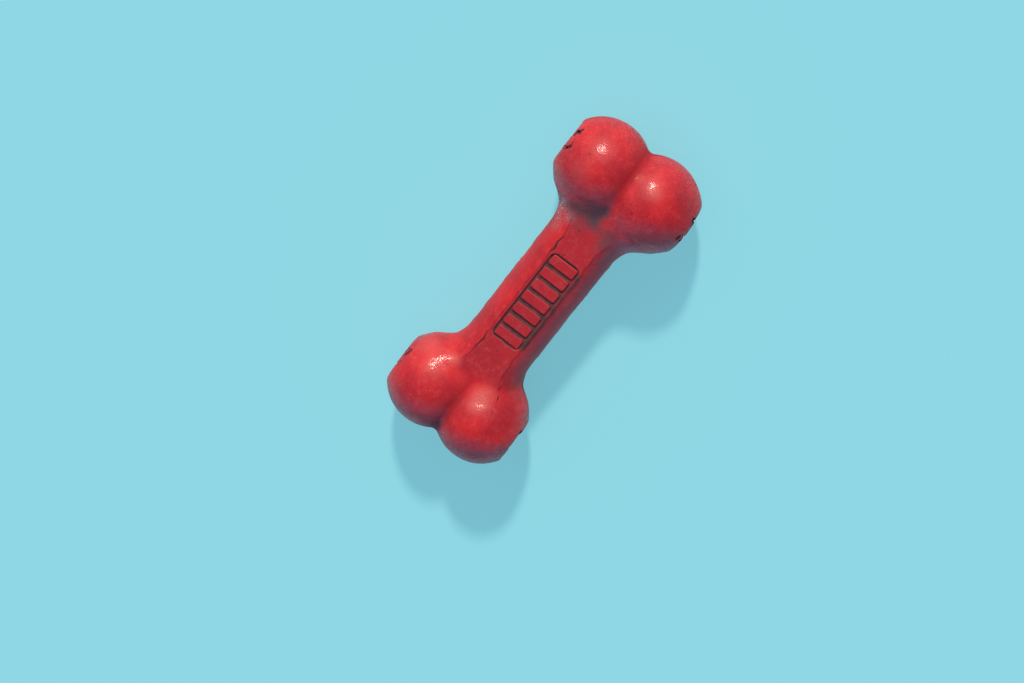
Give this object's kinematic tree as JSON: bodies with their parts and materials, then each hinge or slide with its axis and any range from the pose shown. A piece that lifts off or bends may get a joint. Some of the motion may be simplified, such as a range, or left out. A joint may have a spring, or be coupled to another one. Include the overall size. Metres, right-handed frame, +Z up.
{
  "type": "rubber chew bone",
  "caption": "Rubber chew bone with two-lobed rounded ends, a flat-sided grip shaft, and treat tunnels across each end closed by slit rubber flaps that bend to take and hold a snack.",
  "frame": {"origin": "on the floor below the middle of the bone as it lies flat on its four lobes", "axes": "+X along the shaft to the right head, +Y across the lobes to the back mouths, +Z up, square to the flat grip panels"},
  "size_m": [0.178, 0.0664, 0.0446],
  "materials": {
    "red_rubber": "worn matt natural rubber with a soft sheen, dusty in its hollows"
  },
  "bodies": {
    "bone": {"bone_body": "red_rubber"},
    "left_front_flap_1": {"left_front_flap_1": "red_rubber"},
    "left_front_flap_2": {"left_front_flap_2": "red_rubber"},
    "left_front_flap_3": {"left_front_flap_3": "red_rubber"},
    "left_front_flap_4": {"left_front_flap_4": "red_rubber"},
    "left_front_flap_5": {"left_front_flap_5": "red_rubber"},
    "left_front_flap_6": {"left_front_flap_6": "red_rubber"},
    "left_front_flap_7": {"left_front_flap_7": "red_rubber"},
    "left_front_flap_8": {"left_front_flap_8": "red_rubber"},
    "left_back_flap_1": {"left_back_flap_1": "red_rubber"},
    "left_back_flap_2": {"left_back_flap_2": "red_rubber"},
    "left_back_flap_3": {"left_back_flap_3": "red_rubber"},
    "left_back_flap_4": {"left_back_flap_4": "red_rubber"},
    "left_back_flap_5": {"left_back_flap_5": "red_rubber"},
    "left_back_flap_6": {"left_back_flap_6": "red_rubber"},
    "left_back_flap_7": {"left_back_flap_7": "red_rubber"},
    "left_back_flap_8": {"left_back_flap_8": "red_rubber"},
    "right_front_flap_1": {"right_front_flap_1": "red_rubber"},
    "right_front_flap_2": {"right_front_flap_2": "red_rubber"},
    "right_front_flap_3": {"right_front_flap_3": "red_rubber"},
    "right_front_flap_4": {"right_front_flap_4": "red_rubber"},
    "right_front_flap_5": {"right_front_flap_5": "red_rubber"},
    "right_front_flap_6": {"right_front_flap_6": "red_rubber"},
    "right_front_flap_7": {"right_front_flap_7": "red_rubber"},
    "right_front_flap_8": {"right_front_flap_8": "red_rubber"},
    "right_back_flap_1": {"right_back_flap_1": "red_rubber"},
    "right_back_flap_2": {"right_back_flap_2": "red_rubber"},
    "right_back_flap_3": {"right_back_flap_3": "red_rubber"},
    "right_back_flap_4": {"right_back_flap_4": "red_rubber"},
    "right_back_flap_5": {"right_back_flap_5": "red_rubber"},
    "right_back_flap_6": {"right_back_flap_6": "red_rubber"},
    "right_back_flap_7": {"right_back_flap_7": "red_rubber"},
    "right_back_flap_8": {"right_back_flap_8": "red_rubber"}
  },
  "joints": [
    {"name": "left_front_flap_1_bend", "type": "hinge", "parent": "bone", "child": "left_front_flap_1", "pos_m": [-0.07022, -0.03161, 0.0308], "axis": [0.9239, 0, 0.3827], "range_deg": [-25, 60], "stiffness_Nm_per_rad": 0.01},
    {"name": "left_front_flap_2_bend", "type": "hinge", "parent": "bone", "child": "left_front_flap_2", "pos_m": [-0.0752, -0.03161, 0.02582], "axis": [0.3827, 0, 0.9239], "range_deg": [-25, 60], "stiffness_Nm_per_rad": 0.01},
    {"name": "left_front_flap_3_bend", "type": "hinge", "parent": "bone", "child": "left_front_flap_3", "pos_m": [-0.0752, -0.03161, 0.01878], "axis": [-0.3827, 0, 0.9239], "range_deg": [-25, 60], "stiffness_Nm_per_rad": 0.01},
    {"name": "left_front_flap_4_bend", "type": "hinge", "parent": "bone", "child": "left_front_flap_4", "pos_m": [-0.07022, -0.03161, 0.0138], "axis": [-0.9239, 0, 0.3827], "range_deg": [-25, 60], "stiffness_Nm_per_rad": 0.01},
    {"name": "left_front_flap_5_bend", "type": "hinge", "parent": "bone", "child": "left_front_flap_5", "pos_m": [-0.06318, -0.03161, 0.0138], "axis": [-0.9239, 0, -0.3827], "range_deg": [-25, 60], "stiffness_Nm_per_rad": 0.01},
    {"name": "left_front_flap_6_bend", "type": "hinge", "parent": "bone", "child": "left_front_flap_6", "pos_m": [-0.0582, -0.03161, 0.01878], "axis": [-0.3827, 0, -0.9239], "range_deg": [-25, 60], "stiffness_Nm_per_rad": 0.01},
    {"name": "left_front_flap_7_bend", "type": "hinge", "parent": "bone", "child": "left_front_flap_7", "pos_m": [-0.0582, -0.03161, 0.02582], "axis": [0.3827, 0, -0.9239], "range_deg": [-25, 60], "stiffness_Nm_per_rad": 0.01},
    {"name": "left_front_flap_8_bend", "type": "hinge", "parent": "bone", "child": "left_front_flap_8", "pos_m": [-0.06318, -0.03161, 0.0308], "axis": [0.9239, 0, -0.3827], "range_deg": [-25, 60], "stiffness_Nm_per_rad": 0.01},
    {"name": "left_back_flap_1_bend", "type": "hinge", "parent": "bone", "child": "left_back_flap_1", "pos_m": [-0.06318, 0.03161, 0.0308], "axis": [-0.9239, 0, 0.3827], "range_deg": [-25, 60], "stiffness_Nm_per_rad": 0.01},
    {"name": "left_back_flap_2_bend", "type": "hinge", "parent": "bone", "child": "left_back_flap_2", "pos_m": [-0.0582, 0.03161, 0.02582], "axis": [-0.3827, 0, 0.9239], "range_deg": [-25, 60], "stiffness_Nm_per_rad": 0.01},
    {"name": "left_back_flap_3_bend", "type": "hinge", "parent": "bone", "child": "left_back_flap_3", "pos_m": [-0.0582, 0.03161, 0.01878], "axis": [0.3827, 0, 0.9239], "range_deg": [-25, 60], "stiffness_Nm_per_rad": 0.01},
    {"name": "left_back_flap_4_bend", "type": "hinge", "parent": "bone", "child": "left_back_flap_4", "pos_m": [-0.06318, 0.03161, 0.0138], "axis": [0.9239, 0, 0.3827], "range_deg": [-25, 60], "stiffness_Nm_per_rad": 0.01},
    {"name": "left_back_flap_5_bend", "type": "hinge", "parent": "bone", "child": "left_back_flap_5", "pos_m": [-0.07022, 0.03161, 0.0138], "axis": [0.9239, 0, -0.3827], "range_deg": [-25, 60], "stiffness_Nm_per_rad": 0.01},
    {"name": "left_back_flap_6_bend", "type": "hinge", "parent": "bone", "child": "left_back_flap_6", "pos_m": [-0.0752, 0.03161, 0.01878], "axis": [0.3827, 0, -0.9239], "range_deg": [-25, 60], "stiffness_Nm_per_rad": 0.01},
    {"name": "left_back_flap_7_bend", "type": "hinge", "parent": "bone", "child": "left_back_flap_7", "pos_m": [-0.0752, 0.03161, 0.02582], "axis": [-0.3827, 0, -0.9239], "range_deg": [-25, 60], "stiffness_Nm_per_rad": 0.01},
    {"name": "left_back_flap_8_bend", "type": "hinge", "parent": "bone", "child": "left_back_flap_8", "pos_m": [-0.07022, 0.03161, 0.0308], "axis": [-0.9239, 0, -0.3827], "range_deg": [-25, 60], "stiffness_Nm_per_rad": 0.01},
    {"name": "right_front_flap_1_bend", "type": "hinge", "parent": "bone", "child": "right_front_flap_1", "pos_m": [0.06318, -0.03161, 0.0308], "axis": [0.9239, 0, 0.3827], "range_deg": [-25, 60], "stiffness_Nm_per_rad": 0.01},
    {"name": "right_front_flap_2_bend", "type": "hinge", "parent": "bone", "child": "right_front_flap_2", "pos_m": [0.0582, -0.03161, 0.02582], "axis": [0.3827, 0, 0.9239], "range_deg": [-25, 60], "stiffness_Nm_per_rad": 0.01},
    {"name": "right_front_flap_3_bend", "type": "hinge", "parent": "bone", "child": "right_front_flap_3", "pos_m": [0.0582, -0.03161, 0.01878], "axis": [-0.3827, 0, 0.9239], "range_deg": [-25, 60], "stiffness_Nm_per_rad": 0.01},
    {"name": "right_front_flap_4_bend", "type": "hinge", "parent": "bone", "child": "right_front_flap_4", "pos_m": [0.06318, -0.03161, 0.0138], "axis": [-0.9239, 0, 0.3827], "range_deg": [-25, 60], "stiffness_Nm_per_rad": 0.01},
    {"name": "right_front_flap_5_bend", "type": "hinge", "parent": "bone", "child": "right_front_flap_5", "pos_m": [0.07022, -0.03161, 0.0138], "axis": [-0.9239, 0, -0.3827], "range_deg": [-25, 60], "stiffness_Nm_per_rad": 0.01},
    {"name": "right_front_flap_6_bend", "type": "hinge", "parent": "bone", "child": "right_front_flap_6", "pos_m": [0.0752, -0.03161, 0.01878], "axis": [-0.3827, 0, -0.9239], "range_deg": [-25, 60], "stiffness_Nm_per_rad": 0.01},
    {"name": "right_front_flap_7_bend", "type": "hinge", "parent": "bone", "child": "right_front_flap_7", "pos_m": [0.0752, -0.03161, 0.02582], "axis": [0.3827, 0, -0.9239], "range_deg": [-25, 60], "stiffness_Nm_per_rad": 0.01},
    {"name": "right_front_flap_8_bend", "type": "hinge", "parent": "bone", "child": "right_front_flap_8", "pos_m": [0.07022, -0.03161, 0.0308], "axis": [0.9239, 0, -0.3827], "range_deg": [-25, 60], "stiffness_Nm_per_rad": 0.01},
    {"name": "right_back_flap_1_bend", "type": "hinge", "parent": "bone", "child": "right_back_flap_1", "pos_m": [0.07022, 0.03161, 0.0308], "axis": [-0.9239, 0, 0.3827], "range_deg": [-25, 60], "stiffness_Nm_per_rad": 0.01},
    {"name": "right_back_flap_2_bend", "type": "hinge", "parent": "bone", "child": "right_back_flap_2", "pos_m": [0.0752, 0.03161, 0.02582], "axis": [-0.3827, 0, 0.9239], "range_deg": [-25, 60], "stiffness_Nm_per_rad": 0.01},
    {"name": "right_back_flap_3_bend", "type": "hinge", "parent": "bone", "child": "right_back_flap_3", "pos_m": [0.0752, 0.03161, 0.01878], "axis": [0.3827, 0, 0.9239], "range_deg": [-25, 60], "stiffness_Nm_per_rad": 0.01},
    {"name": "right_back_flap_4_bend", "type": "hinge", "parent": "bone", "child": "right_back_flap_4", "pos_m": [0.07022, 0.03161, 0.0138], "axis": [0.9239, 0, 0.3827], "range_deg": [-25, 60], "stiffness_Nm_per_rad": 0.01},
    {"name": "right_back_flap_5_bend", "type": "hinge", "parent": "bone", "child": "right_back_flap_5", "pos_m": [0.06318, 0.03161, 0.0138], "axis": [0.9239, 0, -0.3827], "range_deg": [-25, 60], "stiffness_Nm_per_rad": 0.01},
    {"name": "right_back_flap_6_bend", "type": "hinge", "parent": "bone", "child": "right_back_flap_6", "pos_m": [0.0582, 0.03161, 0.01878], "axis": [0.3827, 0, -0.9239], "range_deg": [-25, 60], "stiffness_Nm_per_rad": 0.01},
    {"name": "right_back_flap_7_bend", "type": "hinge", "parent": "bone", "child": "right_back_flap_7", "pos_m": [0.0582, 0.03161, 0.02582], "axis": [-0.3827, 0, -0.9239], "range_deg": [-25, 60], "stiffness_Nm_per_rad": 0.01},
    {"name": "right_back_flap_8_bend", "type": "hinge", "parent": "bone", "child": "right_back_flap_8", "pos_m": [0.06318, 0.03161, 0.0308], "axis": [-0.9239, 0, -0.3827], "range_deg": [-25, 60], "stiffness_Nm_per_rad": 0.01}
  ],
  "couplings": [
    {"joint": "left_front_flap_2_bend", "follows": "left_front_flap_1_bend", "ratio": 1},
    {"joint": "left_front_flap_3_bend", "follows": "left_front_flap_1_bend", "ratio": 1},
    {"joint": "left_front_flap_4_bend", "follows": "left_front_flap_1_bend", "ratio": 1},
    {"joint": "left_front_flap_5_bend", "follows": "left_front_flap_1_bend", "ratio": 1},
    {"joint": "left_front_flap_6_bend", "follows": "left_front_flap_1_bend", "ratio": 1},
    {"joint": "left_front_flap_7_bend", "follows": "left_front_flap_1_bend", "ratio": 1},
    {"joint": "left_front_flap_8_bend", "follows": "left_front_flap_1_bend", "ratio": 1},
    {"joint": "left_back_flap_2_bend", "follows": "left_back_flap_1_bend", "ratio": 1},
    {"joint": "left_back_flap_3_bend", "follows": "left_back_flap_1_bend", "ratio": 1},
    {"joint": "left_back_flap_4_bend", "follows": "left_back_flap_1_bend", "ratio": 1},
    {"joint": "left_back_flap_5_bend", "follows": "left_back_flap_1_bend", "ratio": 1},
    {"joint": "left_back_flap_6_bend", "follows": "left_back_flap_1_bend", "ratio": 1},
    {"joint": "left_back_flap_7_bend", "follows": "left_back_flap_1_bend", "ratio": 1},
    {"joint": "left_back_flap_8_bend", "follows": "left_back_flap_1_bend", "ratio": 1},
    {"joint": "right_front_flap_2_bend", "follows": "right_front_flap_1_bend", "ratio": 1},
    {"joint": "right_front_flap_3_bend", "follows": "right_front_flap_1_bend", "ratio": 1},
    {"joint": "right_front_flap_4_bend", "follows": "right_front_flap_1_bend", "ratio": 1},
    {"joint": "right_front_flap_5_bend", "follows": "right_front_flap_1_bend", "ratio": 1},
    {"joint": "right_front_flap_6_bend", "follows": "right_front_flap_1_bend", "ratio": 1},
    {"joint": "right_front_flap_7_bend", "follows": "right_front_flap_1_bend", "ratio": 1},
    {"joint": "right_front_flap_8_bend", "follows": "right_front_flap_1_bend", "ratio": 1},
    {"joint": "right_back_flap_2_bend", "follows": "right_back_flap_1_bend", "ratio": 1},
    {"joint": "right_back_flap_3_bend", "follows": "right_back_flap_1_bend", "ratio": 1},
    {"joint": "right_back_flap_4_bend", "follows": "right_back_flap_1_bend", "ratio": 1},
    {"joint": "right_back_flap_5_bend", "follows": "right_back_flap_1_bend", "ratio": 1},
    {"joint": "right_back_flap_6_bend", "follows": "right_back_flap_1_bend", "ratio": 1},
    {"joint": "right_back_flap_7_bend", "follows": "right_back_flap_1_bend", "ratio": 1},
    {"joint": "right_back_flap_8_bend", "follows": "right_back_flap_1_bend", "ratio": 1}
  ]
}
